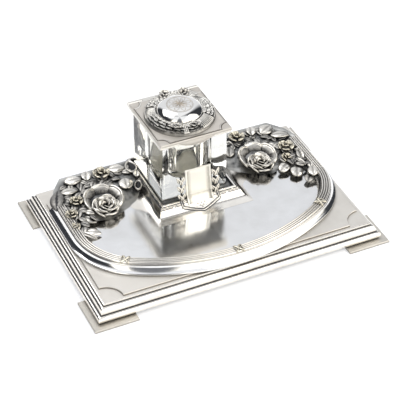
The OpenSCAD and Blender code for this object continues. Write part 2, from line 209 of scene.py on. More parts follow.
def square(half_x, half_y, corner, centre=(0, 0), arcs=4, sides=6, hollow=False):
    """A rectangle with round corners, or hollow ones; loops with equal arcs and sides match."""
    corners = []
    for quarter, (sx, sy) in enumerate([(1, 1), (-1, 1), (-1, -1), (1, -1)]):
        inset = 0 if hollow else corner
        cx, cy = centre[0] + sx * (half_x - inset), centre[1] + sy * (half_y - inset)
        turns = [quarter * 90 + (-90 - a if hollow else a) for a in spread(0, 90, arcs)]
        corners.append([(cx + corner * cos(radians(a)), cy + corner * sin(radians(a))) for a in turns])
    points = []
    for this, after in zip(corners, corners[1:] + corners[:1]):
        points += this
        (x0, y0), (x1, y1) = this[-1], after[0]
        points += [(x0 + (x1 - x0) * i / sides, y0 + (y1 - y0) * i / sides) for i in range(1, sides)]
    return points


def ring(radius, centre, arcs=4, sides=6):
    """A circle whose points match those of square()."""
    step = 90 / (arcs + sides)
    return [(centre[0] + radius * cos(radians(45 + (i - arcs / 2) * step)),
             centre[1] + radius * sin(radians(45 + (i - arcs / 2) * step)))
            for i in range(4 * (arcs + sides))]


def rim_path():
    """(x, y, outward x, outward y) along the middle of the rim, from the left back round the front."""
    joint = atan2(END_X, FRONT_R - OVAL_DEPTH)
    half = [(OVAL_X, y, 1.0, 0.0) for y in spread(SIDE_Y, OVAL_Y, 10)[:-1]]
    half += [(END_X + END_R * cos(a), OVAL_Y + END_R * sin(a), cos(a), sin(a))
             for a in spread(0, joint - pi / 2, 22)[:-1]]
    half += [(FRONT_R * sin(a), FRONT_Y - FRONT_R * cos(a), sin(a), -cos(a))
             for a in spread(joint, 0, 22)]
    left = [(-x, y, -nx, ny) for x, y, nx, ny in half]
    return left + half[-2::-1]


def sweep(shape, path, section):
    """Carries a closed section of (outward, height, darkness) along a rim path and closes its two ends."""
    rows = [shape.row([(x + nx * out, y + ny * out, z) for out, z, _ in section],
                      [wear_and_shade for _, _, wear_and_shade in section]) for x, y, nx, ny in path]
    shape.skin(rows, around=True)
    shape.faces += [tuple(rows[0]), tuple(rows[-1])]


# ---- materials ----

def add(tree, kind, inputs=(), **settings):
    """A node with its settings made and its inputs filled or linked, as (socket, value) pairs."""
    made = tree.nodes.new(kind)
    for key, value in settings.items():
        setattr(made, key, value)
    for socket, value in inputs:
        if isinstance(value, bpy.types.NodeSocket):
            tree.links.new(value, made.inputs[socket])
        else:
            made.inputs[socket].default_value = value
    return made


def maths(tree, operation, a, b, clamp=False):
    return add(tree, "ShaderNodeMath", [(0, a), (1, b)], operation=operation, use_clamp=clamp).outputs[0]


def pattern(tree, where, size_mm, detail=3.0, stretch=(1, 1, 1), turn=0.0):
    """Noise from 0 to 1 whose features are about size_mm across."""
    mapped = add(tree, "ShaderNodeMapping", [("Vector", where), ("Scale", stretch),
                                             ("Rotation", (0, 0, radians(turn)))])
    return add(tree, "ShaderNodeTexNoise", [("Vector", mapped.outputs[0]), ("Scale", 1 / (size_mm * MM)),
                                            ("Detail", detail), ("Roughness", 0.6)]).outputs["Fac"]


def mixed(tree, factor, first, second):
    """A colour between two; each is a socket, or red, green and blue."""
    ends = [value if isinstance(value, bpy.types.NodeSocket) else (*value, 1) for value in (first, second)]
    return add(tree, "ShaderNodeMix", [(0, factor), (6, ends[0]), (7, ends[1])], data_type="RGBA").outputs[2]


def begin(name):
    """A node material, its tree, its shader, and the place on the object."""
    material = bpy.data.materials.new(name)
    material.use_nodes = True
    tree = material.node_tree
    return material, tree, tree.nodes["Principled BSDF"], add(tree, "ShaderNodeTexCoord").outputs["Object"]


def surface(tree, shader, colour, rough, height, strength, depth_mm):
    """Links a colour, a roughness and a bump of a height to the shader."""
    bump = add(tree, "ShaderNodeBump", [("Height", height), ("Strength", strength),
                                        ("Distance", depth_mm * MM)])
    for value, socket in ((colour, "Base Color"), (rough, "Roughness"), (bump.outputs[0], "Normal")):
        tree.links.new(value, shader.inputs[socket])


def metal(name, bright, tint, oxide_and_shade, gloss, dull, tarnish=0.1, crevice=0.8, dents=0.04, scratches=0.03):
    """Plated metal: bright and tint vary in clouds, recesses go dark as oxide and as painted shade, fine
    scratches all over.
    """
    material, tree, shader, where = begin(name)
    shader.inputs["Metallic"].default_value = 1.0
    wear_and_shade = add(tree, "ShaderNodeAttribute", attribute_name="wear_and_shade").outputs["Fac"]
    clouds = pattern(tree, where, 28)
    mottle = pattern(tree, where, 2.2, detail=5)
    lines = pattern(tree, where, 9, detail=4, stretch=(1, 34, 34), turn=24)
    cross = pattern(tree, where, 12, detail=4, stretch=(30, 1, 30), turn=-14)
    # Ambient occlusion darkens the hollows: painted shade, which also stands for the oxide that gathers
    # there.
    shelter = add(tree, "ShaderNodeAmbientOcclusion", [("Distance", 3.2 * MM)], samples=6).outputs["AO"]
    sheltered = maths(tree, "MULTIPLY", maths(tree, "SUBTRACT", 1.0, shelter), crevice)
    depth = maths(tree, "ADD", sheltered, wear_and_shade)
    broken = maths(tree, "MULTIPLY", depth, maths(tree, "ADD", mottle, 0.55))
    patches = maths(tree, "MULTIPLY", maths(tree, "SUBTRACT", clouds, 0.42, clamp=True), tarnish * 4)
    age_and_shade = maths(tree, "ADD", broken, patches, clamp=True)
    colour = mixed(tree, age_and_shade, mixed(tree, clouds, bright, tint), oxide_and_shade)
    scuffs = maths(tree, "MULTIPLY", maths(tree, "MAXIMUM", lines, cross), scratches * 3)
    dulled = add(tree, "ShaderNodeMapRange", [("Value", age_and_shade), ("To Min", gloss), ("To Max", dull)]).outputs[0]
    marks = maths(tree, "ADD", maths(tree, "MULTIPLY", lines, scratches),
                  maths(tree, "MULTIPLY", mottle, dents))
    surface(tree, shader, colour, maths(tree, "ADD", dulled, scuffs), marks, 0.35, 0.12)
    return material


def clear_glass(name, clean, stained, haze):
    """Pressed glass with faint waves in the surface, and stains and haze in clouds."""
    material, tree, shader, where = begin(name)
    shader.inputs["Transmission Weight"].default_value = 1.0
    shader.inputs["IOR"].default_value = 1.5
    rough = add(tree, "ShaderNodeMapRange", [("Value", pattern(tree, where, 3, detail=5)),
                                             ("From Min", 0.45), ("From Max", 0.8),
                                             ("To Min", haze[0]), ("To Max", haze[1])]).outputs[0]
    colour = mixed(tree, pattern(tree, where, 16), clean, stained)
    surface(tree, shader, colour, rough, pattern(tree, where, 11, detail=1), 0.25, 0.3)
    return material


def pad(name, light, dark):
    """Pale felt pressed flat."""
    material, tree, shader, where = begin(name)
    colour = mixed(tree, pattern(tree, where, 5, detail=5), light, dark)
    rough = add(tree, "ShaderNodeMapRange", [("Value", pattern(tree, where, 2)), ("To Min", 0.8)]).outputs[0]
    surface(tree, shader, colour, rough, pattern(tree, where, 0.5, detail=2), 0.4, 0.1)
    return material


SILVER = metal("silver_plate", (0.93, 0.905, 0.86), (0.86, 0.81, 0.73), (0.10, 0.10, 0.105), 0.13, 0.42)
SATIN = metal("satin_silver", (0.90, 0.90, 0.90), (0.87, 0.86, 0.84), (0.20, 0.19, 0.18), 0.07, 0.35,
              crevice=0.3)
TABLET = metal("tablet_silver", (0.95, 0.93, 0.87), (0.90, 0.87, 0.80), (0.20, 0.18, 0.15), 0.28, 0.45,
               crevice=0.3)
TOP = metal("plinth_top_silver", (0.78, 0.755, 0.71), (0.72, 0.685, 0.63), (0.16, 0.14, 0.12), 0.46, 0.55,
            crevice=0.45)
FOOT = metal("foot_silver", (0.66, 0.635, 0.585), (0.60, 0.565, 0.505), (0.14, 0.12, 0.10), 0.42, 0.55,
             crevice=0.45)
RELIEF = metal("relief_silver", (0.88, 0.85, 0.79), (0.78, 0.74, 0.67), (0.05, 0.05, 0.052), 0.22, 0.5,
               tarnish=0.14, crevice=0.85, dents=0.5, scratches=0.02)
GILT = metal("blossom_silver", (0.88, 0.84, 0.73), (0.80, 0.73, 0.58), (0.09, 0.08, 0.06), 0.2, 0.5,
             crevice=1.0, dents=0.3)
GROUND = metal("relief_ground", (0.70, 0.69, 0.66), (0.52, 0.52, 0.50), (0.06, 0.062, 0.066), 0.25, 0.5,
               tarnish=0.35, crevice=1.0, dents=1.6)
POLISHED = metal("polished_silver", (0.92, 0.91, 0.89), (0.86, 0.84, 0.80), (0.25, 0.24, 0.22), 0.05, 0.3,
                 tarnish=0.05, crevice=0.4, dents=0.0, scratches=0.012)
ENGRAVED = metal("engraved_line", (0.50, 0.42, 0.32), (0.40, 0.33, 0.25), (0.12, 0.10, 0.08), 0.3, 0.5)
LID_TOP = metal("lid_silver", (0.72, 0.69, 0.645), (0.66, 0.62, 0.57), (0.13, 0.11, 0.09), 0.58, 0.62,
                crevice=0.12)
WREATH = metal("wreath_silver", (0.92, 0.90, 0.85), (0.84, 0.81, 0.75), (0.06, 0.06, 0.062), 0.2, 0.45,
               crevice=0.55)
COLLAR = metal("collar_silver", (0.86, 0.84, 0.79), (0.80, 0.77, 0.71), (0.20, 0.18, 0.15), 0.25, 0.45,
               crevice=0.12)
BRASS = metal("brass", (0.80, 0.62, 0.30), (0.70, 0.52, 0.24), (0.18, 0.12, 0.06), 0.25, 0.5)
STEEL = metal("steel", (0.60, 0.60, 0.60), (0.52, 0.52, 0.53), (0.15, 0.14, 0.13), 0.25, 0.5)
GLASS = clear_glass("clear_glass", (0.965, 0.96, 0.93), (0.93, 0.92, 0.86), (0.0, 0.04))
RESIDUE = clear_glass("stained_glass", (0.98, 0.975, 0.94), (0.93, 0.92, 0.85), (0.02, 0.3))
PAD = pad("seat_pad", (0.98, 0.965, 0.90), (0.93, 0.90, 0.80))


# ---- plinth and feet ----

def plinth():
    shape = Shape()
    half_x, half_y, base = PLINTH_HI.x, PLINTH_HI.y, PLINTH_LO.z
    lower = arc((-2.3, base + 2.9), (2.3, 2.7), -80, 84, 10)
    upper = arc((-6.1, base + 6.6), (2.9, 4.2), -8, 86, 9)
    # Painted shade: the grooves between the bands and the foot of the lower band, at the floor, are darker.
    profile = [(-9, PLINTH_TOP - 1.2, 0.6), (-9, base + 8, 0.6), (-3.4, base + 5, 0.6), (-3.4, base, 0.4)]
    profile += [(out, z, 0.35 if i == 0 else 0.0) for i, (out, z) in enumerate(lower)]
    profile += [(-2.6, base + 5.7, 0.9), (-3.5, base + 5.7, 1.0), (-3.5, base + 6, 0.8)]
    profile += [(out, z, 0.0) for out, z in upper]
    profile += [(-6.3, base + 10.9, 0.9), (-6.8, base + 10.9, 0.9), (-6.8, base + 11.3, 0.1),
                (-6.7, PLINTH_TOP - 0.5, 0), (-6.8, PLINTH_TOP - 0.15, 0), (-7.2, PLINTH_TOP, 0),
                (-7.8, PLINTH_TOP, 0)]
    shape.stack([(square(half_x + out, half_y + out, 0.02, arcs=1, sides=40), z, wear_and_shade)
                 for out, z, wear_and_shade in profile])
    return make(shape, "plinth_shell", SILVER, "stand", ["plinth"], sharp=26)


def raised_panel():
    """The thin step with hollow corners that the tray stands on."""
    shape = Shape()
    half_x, half_y, notch = PLINTH_HI.x - 9.8, PLINTH_HI.y - 9.3, 14
    # Painted shade: the foot of the step, where it meets the plinth top, is darker.
    levels = [(0.0, PLINTH_TOP, 1.0), (0.0, PLINTH_TOP + 0.2, 0.7), (0.05, PLINTH_HI.z - 0.3, 0.05),
              (0.3, PLINTH_HI.z, 0.0), (1.2, PLINTH_HI.z, 0.0)]
    shape.stack([(square(half_x - inset, half_y - inset, notch, arcs=14, sides=20, hollow=True), z, wear_and_shade)
                 for inset, z, wear_and_shade in levels])
    return make(shape, "plinth_panel", TOP, "stand")


def plinth_top():
    """Satin sheet between the moulding and the raised panel."""
    shape = Shape()
    shape.stack([(square(PLINTH_HI.x - 7.6, PLINTH_HI.y - 7.6, 0.02, arcs=1, sides=40), z, 0)
                 for z in (PLINTH_TOP - 0.5, PLINTH_TOP + 0.03)])
    return make(shape, "plinth_top", TOP, "stand")


def foot(name, sx, sy):
    shape = Shape()
    x, y = sx * FOOT_HI.x, sy * FOOT_HI.y
    far_x, far_y = sx * -FOOT_LO.x, sy * -FOOT_LO.y
    arm_x, arm_y = sx * -FOOT_HI.x, sy * -FOOT_HI.y
    in_x, in_y = far_x - sx * FOOT_WIDTH, far_y - sy * FOOT_WIDTH

    def plan(inset):
        a, b = sx * inset, sy * inset
        return [(far_x - a, far_y - b), (arm_x + a, far_y - b), (arm_x + a, in_y + b),
                (in_x + a, in_y + b), (in_x + a, arm_y + b), (far_x - a, arm_y + b)]

    top = FOOT_HI.z
    shape.stack([(plan(inset), z, wear_and_shade) for inset, z, wear_and_shade in
                 [(0.3, 0, 0.4), (0, 0.3, 0.3), (0, top - 0.6, 0.1), (0.15, top - 0.25, 0),
                  (0.55, top, 0), (1.3, top, 0)]])
    return make(shape, name + "_plate", FOOT, "stand", [name])


# ---- tray ----

def tray():
    shape = Shape()
    base, crest, inner = TRAY_LO.z, RIM_LO.z, 11.4
    bead = arc((7.2, base + 0.95), (0.95, 0.95), -70, 110, 8)
    wall = arc((11.8, base + 7.2), (7.5, 5.9), 240, 182, 12)
    cove = arc((-9.6, FLOOR + 5.9), (5.7, 5.9), 0, -90, 12)
    # Painted shade: the crease between the bead and the wall, and the strips under the rim on both sides, are
    # darker.
    section = [(5.0, base, 0.5)] + [(out, z, 0.0) for out, z in bead]
    section += [(6.5, base + 2.0, 0.9)] + [(out, z, 0.0) for out, z in wall]
    section += [(3.95, crest + 0.35, 0.9), (-3.8, crest + 0.35, 0.5)]
    section += [(out, z, 0.25 if i == 0 else 0.0) for i, (out, z) in enumerate(cove)]
    section += [(1 - inner, FLOOR, 0.0), (-inner, FLOOR, 0.0), (-inner, base, 0.3)]
    path = rim_path()
    sweep(shape, path, section)
    floor = [(x - inner * nx, y - inner * ny) for x, y, nx, ny in path]
    edge_x, back = OVAL_X - 12, PANEL_HI.y - 1
    floor += [(edge_x, SIDE_Y + 6), (edge_x - 8, back), (8 - edge_x, back), (-edge_x, SIDE_Y + 6)]
    shape.stack([(floor, base, 0.3), (floor, FLOOR, 0.0)])
    return make(shape, "tray_shell", SATIN, "stand", ["pen_tray"], sharp=40)


def reeds():
    """The reeded band: four half-round reeds between two fillets, with painted shade deep in the grooves."""
    shape = Shape()
    base, pitch = RIM_LO.z + 0.2, 1.78
    section = [(-3.9, base, 0.9), (3.9, base, 0.9), (3.95, base + 0.5, 0.1), (3.75, base + 0.7, 0)]
    for i in (1.5, 0.5, -0.5, -1.5):
        # Painted shade: the lower a point lies between the reeds, the darker it is.
        section += [(out, z, max(0, 1 - (z - base - 0.35) / 0.6))
                    for out, z in arc((i * pitch, base + 0.35), (pitch * 0.5, 1.35), 4, 176, 10)]
    section += [(-3.75, base + 0.7, 0), (-3.95, base + 0.5, 0.1)]
    sweep(shape, rim_path(), section)
    return make(shape, "rim_reeds", SILVER, "stand", ["tray_rim"], sharp=50)


def ties():
    """Crossed ribbons over the reeds, with a narrow band either side of each cross."""
    shape = Shape()
    top = RIM_HI.z - 0.1

    def ribbon(spot, turn, shift, radii):
        x, y, nx, ny = spot
        path = []
        for s in spread(-4.3, 4.3, 12):
            along = shift + s * sin(radians(turn))
            across = s * cos(radians(turn))
            z = top + 0.25 - 1.5 * max(0, abs(across) - 3.2)
            path.append((x + nx * across - ny * along, y + ny * across + nx * along, z))
        shape.tube(path, radii)

    path = rim_path()
    middle = len(path) // 2
    side = min(range(middle), key=lambda i: abs(path[i][0] + TIE_X))
    for i in (side, middle, len(path) - 1 - side):
        for turn in (-34, 34):
            ribbon(path[i], turn, 0, (0.85, 0.5))
        for shift in (-2.9, 2.9):
            ribbon(path[i], 0, shift, (0.32, 0.4))
    return make(shape, "ribbon_ties", GILT, "stand", ["rim_ties"], sharp=60)


# ---- pedestal and holder ----

# (reach to the side, reach to the front, height above the floor, darkness), from the frame edge out
SLOPE = [(0.0, 0.0, 7.0, 0.0), (0.35, 0.35, 6.95, 0.0), (0.55, 0.6, 6.6, 0.0), (0.7, 0.8, 6.35, 1.0),
         (1.0, 1.05, 6.3, 1.0), (1.15, 1.2, 6.4, 0.0), (1.7, 1.75, 5.9, 0.0), (1.85, 1.9, 5.6, 1.0),
         (2.1, 2.2, 5.55, 1.0), (2.3, 2.4, 5.6, 0.0), (3.3, 4.0, 4.1, 0.0), (4.0, 5.2, 3.0, 0.0),
         (4.3, 5.6, 2.55, 0.1), (4.5, 5.9, 2.3, 0.35), (5.0, 6.8, 1.7, 0.0), (6.0, 8.6, 1.0, 0.0),
         (7.4, 11.4, 0.45, 0.0), (9.3, 15.0, 0.06, 0.0)]


def slope_height(reach):
    """Height of the pedestal's front at a reach out from the frame edge."""
    for (_, a, za, _), (_, b, zb, _) in zip(SLOPE, SLOPE[1:]):
        if a <= reach <= b:
            return FLOOR + za + (zb - za) * (reach - a) / (b - a)
    return FLOOR


def pedestal():
    """Frame edge with two engraved lines, a falling band and a cove that runs out on the floor."""
    shape = Shape()
    half, front, back = FRAME_HI.x, FRAME_LO.y, FRAME_HI.y
    section = [(-1.0, -1.0, -0.4, 0.5), (-1.0, -1.0, 6.2, 0.6), (-0.9, -0.9, 7.0, 0.0)] + SLOPE
    section += [(9.0, 14.0, -0.3, 0.0)]
    rows = []

    def add_row(place, dash):
        values = [place(side, toe) + (FLOOR + z,) for side, toe, z, _ in section]
        rows.append(shape.row(values, [w * (0.3 if dash and w == 1.0 else 1) for *_, w in section]))

    def flare(side, y):
        return side * (1 + 1.15 * smooth_step((y - 8) / 15) * max(0, side - 3.3) / 6)

    for sign in (-1, 1):
        sides = spread(1, 0, 44) if sign < 0 else spread(0, 1, 44)
        for i, t in enumerate(sides):
            add_row(lambda side, toe, s=sign, t=t: (
                s * (half + flare(side, front - toe + t * (back - front + toe))),
                front - toe + t * (back - front + toe)), i % 6 == 5)
        if sign < 0:
            for i, t in enumerate(spread(0, 1, 42)[1:-1]):
                add_row(lambda side, toe, t=t: ((half + side) * (2 * t - 1), front - toe), i % 5 == 4)
    shape.skin(rows, around=True)
    shape.faces += [tuple(rows[0]), tuple(rows[-1])]
    lip = [(-half, back - 1), (half, back - 1), (half, back), (-half, back)]
    shape.stack([(lip, FLOOR, 0.5), (lip, FRAME_HI.z, 0.0)])
    return make(shape, "pedestal_shell", SILVER, "stand", ["pedestal"], sharp=38)


def holder():
    """The sunk ledge between the frame edge and the glass."""
    shape = Shape()
    middle = (0, (FRAME_LO.y + FRAME_HI.y) / 2)
    glass_middle = (0, (GLASS_LO.y + GLASS_HI.y) / 2)
    outer = square(FRAME_HI.x - 0.8, (FRAME_HI.y - FRAME_LO.y) / 2 - 0.8, 0.05, middle)
    inner = square(GLASS_HI.x + 0.3, (GLASS_HI.y - GLASS_LO.y) / 2 + 0.3, 1.5, glass_middle)
    # Painted shade and dark reflection: the ledge round the glass is nearly black.
    shape.stack([(outer, FRAME_LO.z, 0.8), (outer, FRAME_LO.z + 0.9, 1.0), (inner, FRAME_LO.z + 0.6, 0.5),
                 (inner, FRAME_LO.z, 0.3)], closed=True)
    make(shape, "holder_ledge", GROUND, "stand", ["holder_frame"])
    seat = Shape()
    low = square(GLASS_HI.x - 0.5, (GLASS_HI.y - GLASS_LO.y) / 2 - 0.5, 1.5, glass_middle)
    seat.stack([(low, FRAME_LO.z - 2, 0.2), (low, FRAME_LO.z, 0.0)])
    return make(seat, "holder_seat", PAD, "stand")


def apron():
    """The pointed double border under the plaque, beads inside it, and two dashed lines beside it."""
    shape = Shape()
    front = FRAME_LO.y

    def on_slope(x, reach, lift=0.12):
        return (x, front - reach, slope_height(reach) + lift)

    for grow, wear_and_shade, size in [(0.0, 0.0, 0.40), (0.8, 1.0, 0.42), (1.6, 0.0, 0.40), (2.4, 1.0, 0.40)]:
        corners = [(14.2 + grow, 0.5), (14.2 + grow, 3.4 + grow * 0.6), (11.6 + grow * 0.6, 4.0 + grow * 0.9),
                   (0, 8.2 + grow * 1.25)]
        corners += [(-x, reach) for x, reach in corners[-2::-1]]
        path = []
        for (x0, r0), (x1, r1) in zip(corners, corners[1:]):
            path += [on_slope(x0 + (x1 - x0) * t, r0 + (r1 - r0) * t, 0.02 if wear_and_shade else 0.14)
                     for t in spread(0, 1, 6)[:-1]]
        path.append(on_slope(*corners[-1]))
        shape.tube(path, (size, 0.3), wear_and_shade, sides=6)
    for x, reach in [(-3, 4.4), (0, 4.4), (3, 4.4), (-1.5, 5.6), (1.5, 5.6), (0, 6.6)]:
        shape.ball(on_slope(x, reach), (0.75, 0.5), 0.1, 10, 5)
    for reach, dashes in ((1.3, [(0, 0.7), (0.76, 1)]), (2.9, [(0, 0.3), (0.38, 1)])):
        inner, outer = 15.6 + reach * 0.6, FRAME_HI.x + reach - 0.4
        for side in (-1, 1):
            for first, last in dashes:
                path = [on_slope(side * (inner + (outer - inner) * t), reach, 0.04)
                        for t in spread(first, last, 8)]
                shape.tube(path, (0.45, 0.3), 1.0, sides=6)
    return make(shape, "pedestal_apron", SILVER, "stand", sharp=60)


# ---- plaque ----

def plaque():
    """A leaning tablet with a raised border, a crease and a foot that turns outwards."""
    shape = Shape()
    half, top, foot_z = PLAQUE_HI.x, PLAQUE_HI.z, FRAME_LO.z - 0.6
    spine = [(1.6, foot_z), (3.6, 24.2), (5.6, 27.3), (6.0, 28.2)]
    spine += [(6.0 + 3.4 * t, 28.2 + (top - 28.2) * t) for t in spread(0, 1, 8)[1:]]
    lengths = [0]
    for (y0, z0), (y1, z1) in zip(spine, spine[1:]):
        lengths.append(lengths[-1] + hypot(y1 - y0, z1 - z0))
    across = [-half, -half + 0.3, -half + 0.9, -half + 1.3, -6, 0,
              6, half - 1.3, half - 0.9, half - 0.3, half]
    rows = []
    for (y, z), run in zip(spine, lengths):
        points, wear_and_shade = [], []
        for x in across:
            inside = min(half - abs(x), lengths[-1] - run)
            border = 0.5 * (1 - smooth_step((inside - 0.8) / 0.5))
            points.append((x, y - border, z))
            # Painted shade: a darker line inside the raised border and along the crease.
            wear_and_shade.append(0.55 if 1.1 < inside < 1.4 else 0.5 if abs(z - 27.3) < 0.2 else 0.0)
        rows.append(shape.row(points, wear_and_shade))
    shape.skin(rows)
    return make(shape, "plaque_tablet", TABLET, "stand", ["plaque"], sharp=50, thick=1.1,
                bevel=0.18)


# ---- petals and leaves ----

def place(x, y, z, turn=0.0, tilt=0.0, roll=0.0):
    """A frame at a point: turn about Z, then tilt about its own X and roll about its own Y."""
    return (Matrix.Translation((x, y, z)) @ Matrix.Rotation(radians(turn), 4, "Z")
            @ Matrix.Rotation(radians(tilt), 4, "X") @ Matrix.Rotation(radians(roll), 4, "Y"))


def leaf(shape, at, length, width, arch=0.12, fold=0.0, blunt=0.7, veins=0.12, darkening=0.0):
    """A leaf along local X with its vein sunk, its edges turned down and its tip pointed or blunt."""
    rows = []
    steps, across = 14, 8
    for i in range(steps + 1):
        v = i / steps
        half = width / 2 * max(0.02, sin(pi * v ** 0.85)) ** blunt
        points, wear_and_shade = [], []
        for j in range(across + 1):
            u = 2 * j / across - 1
            height = arch * length * (1 - (2 * v - 1) ** 2) + fold * width * abs(u)
            height -= 0.10 * width * abs(u) ** 3
            height -= 0.5 * exp(-(u / 0.16) ** 2) * sin(pi * v)
            height += veins * sin(7 * pi * v + 3 * abs(u)) * abs(u) * (1 - abs(u)) * 3
            points.append(at @ Vector((length * (v - 0.5), half * u, height)))
            edge = max(abs(u) ** 6, (2 * v - 1) ** 10)
            # Painted shade along the sunk vein and the turned-down rim; the leaf's own setting darkens it
            # evenly all over.
            wear_and_shade.append(darkening + 0.5 * exp(-(u / 0.14) ** 2) + 0.25 * edge)
        rows.append(shape.row(points, wear_and_shade))
    shape.skin(rows)


def petal(shape, at, turn, half_angle, radii, heights, roll, tuck=0.0, dark=0.9, fade=0.7):
    """A rose petal: it rises from the middle, widens, and rolls its rim outwards."""
    rows = []
    rise, lip, across = 8, 6, 10
    for i in range(rise + lip + 1):
        points, wear_and_shade = [], []
        for j in range(across + 1):
            u = 2 * j / across - 1
            if i <= rise:
                s = i / rise
                r = radii[0] + (radii[1] - 2 * roll - radii[0]) * s ** 1.3
                z = heights[0] + (heights[1] - roll - heights[0]) * sin(s * pi / 2)
                # Painted shade: darkest at the base, deep in the flower, fading outwards.
                shade = dark * (1 - s) ** fade
            else:
                s = (i - rise) / lip
                a = pi - s * pi * 1.15
                r = radii[1] - roll + roll * cos(a)
                z = heights[1] - roll + roll * sin(a)
                # Painted shade under the rolled rim.
                shade = 0.25 * smooth_step(s * 2 - 1)
            wide = 0.55 + 0.45 * min(1, i / rise) ** 0.7
            z -= (heights[1] - heights[0]) * 0.30 * abs(u) ** 3.2
            r -= radii[1] * 0.05 * abs(u) ** 2 - tuck * u
            z += 0.25 * sin(5 * u + turn) * min(1, i / rise)
            angle = radians(turn) + radians(half_angle) * u * wide
            points.append(at @ Vector((r * cos(angle), r * sin(angle), z)))
            # Painted shade along the side edges too.
            wear_and_shade.append(shade + 0.45 * abs(u) ** 8)
        rows.append(shape.row(points, wear_and_shade))
    shape.skin(rows)


def rose(name, mirror, spot, seed):
    """A full-blown rose: an open cup of outer petals, and an inner flower that leans to the front."""
    rnd = Random(seed)
    shape = Shape()
    x, y = spot
    cup = place(x, y, FLOOR + 0.2, tilt=3)
    heart = place(x - 1.5, y - 7.5, FLOOR + 0.6, tilt=10)
    for k, (turn, half, reach) in enumerate([(78, 34, 17.4), (128, 30, 17.0), (24, 36, 17.6), (178, 34, 16.6),
                                             (-30, 34, 16.4), (228, 34, 16.0), (-84, 36, 15.4)]):
        # The cup's petals carry painted shade far out from their bases, inside the cup.
        petal(shape, cup, turn, half, (8, reach), (1.5, 9.6 + rnd.uniform(-0.3, 0.3)), 1.2,
              tuck=0.5, dark=1.0, fade=0.35)
    layers = [(5, 55, 43, (3, 11.2), (0.5, 8.8), 0.8), (5, 12, 42, (2, 8.4), (1.5, 10.0), 0.65),
              (4, 40, 50, (1, 5.7), (2.5, 10.3), 0.5), (3, 0, 66, (0.6, 3.2), (3, 10.4), 0.4)]
    for count, start, half, radii, heights, roll in layers:
        for k in range(count):
            high = heights[1] + rnd.uniform(-0.4, 0.4)
            petal(shape, heart, 360 / count * k + start + rnd.uniform(-8, 8), half, radii,
                  (heights[0], high), roll, tuck=0.6, dark=0.85)
    side = "left" if mirror < 0 else "right"
    return make(shape, name, RELIEF, "stand", ["rose_" + side],
                sharp=80, levels=1, thick=0.5)


def small_flower(shape, at, radius, seed):
    """A blossom of five cupped petals round a beaded middle."""
    rnd = Random(seed)
    for k in range(5):
        petal(shape, at, 72 * k + rnd.uniform(-8, 8), 34, (0.25 * radius, radius),
              (0.0, 0.42 * radius + rnd.uniform(-0.3, 0.3)), 0.10 * radius, tuck=0.1, dark=0.7)
    for k in range(3):
        petal(shape, at, 120 * k + rnd.uniform(-20, 20), 50, (0.1 * radius, 0.5 * radius),
              (0.1 * radius, 0.62 * radius), 0.09 * radius, tuck=0.1, dark=0.8)


# ---- relief panels ----

def panel_height(x, y, s):
    """Height of the relief ground: it rises from the tray and has a raised back edge."""
    z = FLOOR + (PANEL_HI.z - FLOOR - 1.6) * smooth_step(s / 0.34) ** 0.8
    z += 1.5 * smooth_step((s - 0.90) / 0.06)
    bumps = noise.noise(Vector((x * 0.16, y * 0.16, 3.1)))
    bumps += 0.5 * noise.noise(Vector((x * 0.5, y * 0.5, 7.7)))
    return z + 0.7 * bumps * smooth_step(s / 0.2) * (1 - smooth_step((s - 0.86) / 0.05))


def along(corners, count):
    """count + 1 points evenly spread along a line of corners."""
    runs = [0]
    for (x0, y0), (x1, y1) in zip(corners, corners[1:]):
        runs.append(runs[-1] + hypot(x1 - x0, y1 - y0))
    points = []
    for goal in spread(0, runs[-1], count):
        k = max(i for i, run in enumerate(runs[:-1]) if run <= goal + 1e-9)
        t = (goal - runs[k]) / (runs[k + 1] - runs[k])
        (x0, y0), (x1, y1) = corners[k], corners[k + 1]
        points.append((x0 + (x1 - x0) * t, y0 + (y1 - y0) * t))
    return points


def rose_panel(name, mirror):
    shape = Shape()
    half_side = OVAL_X + RIM_HALF
    back, flank = PANEL_HI.y, FRAME_HI.x + 3.4
    front_edge = [(flank + 2.5, 31), (flank + 9, 25), (54, 21.5), (70, 14), (86, 18), (OVAL_X - 8, 3)]
    back_edge = [(flank, back), (93, back), (103.5, 56.5), (half_side, SIDE_Y), (half_side - 0.6, 4)]
    count, depth = 60, 30
    rows = []
    for (fx, fy), (bx, by) in zip(along(front_edge, count), along(back_edge, count)):
        points, wear_and_shade = [], []
        for s in spread(0, 1, depth):
            x, y = fx + (bx - fx) * s, fy + (by - fy) * s
            z = panel_height(x * mirror, y, s)
            if by < SIDE_Y + 4:
                z -= (SIDE_Y + 4 - by) * 0.035
            points.append((mirror * x, y, z))
            worn = 0.5 + 0.5 * noise.noise(Vector((x * 0.3, y * 0.3, 1)))
            wear_and_shade.append(0.15 if s < 0.12 or s > 0.93 else worn)
        rows.append(shape.row(points, wear_and_shade))
    shape.skin(rows)
    rim = rows[0] + [r[-1] for r in rows[1:-1]] + rows[-1][::-1] + [r[0] for r in rows[-2:0:-1]]
    low = []
    for i in rim:
        x, y, _ = shape.points[i]
        low.append((x, y, TRAY_LO.z + 0.1))
    skirt = shape.row(low, 0.15)
    shape.skin([rim, skirt], around=True)
    shape.faces.append(tuple(skirt))
    side = "left" if mirror < 0 else "right"
    return make(shape, name, GROUND, "stand", ["rose_panel_" + side], sharp=48)


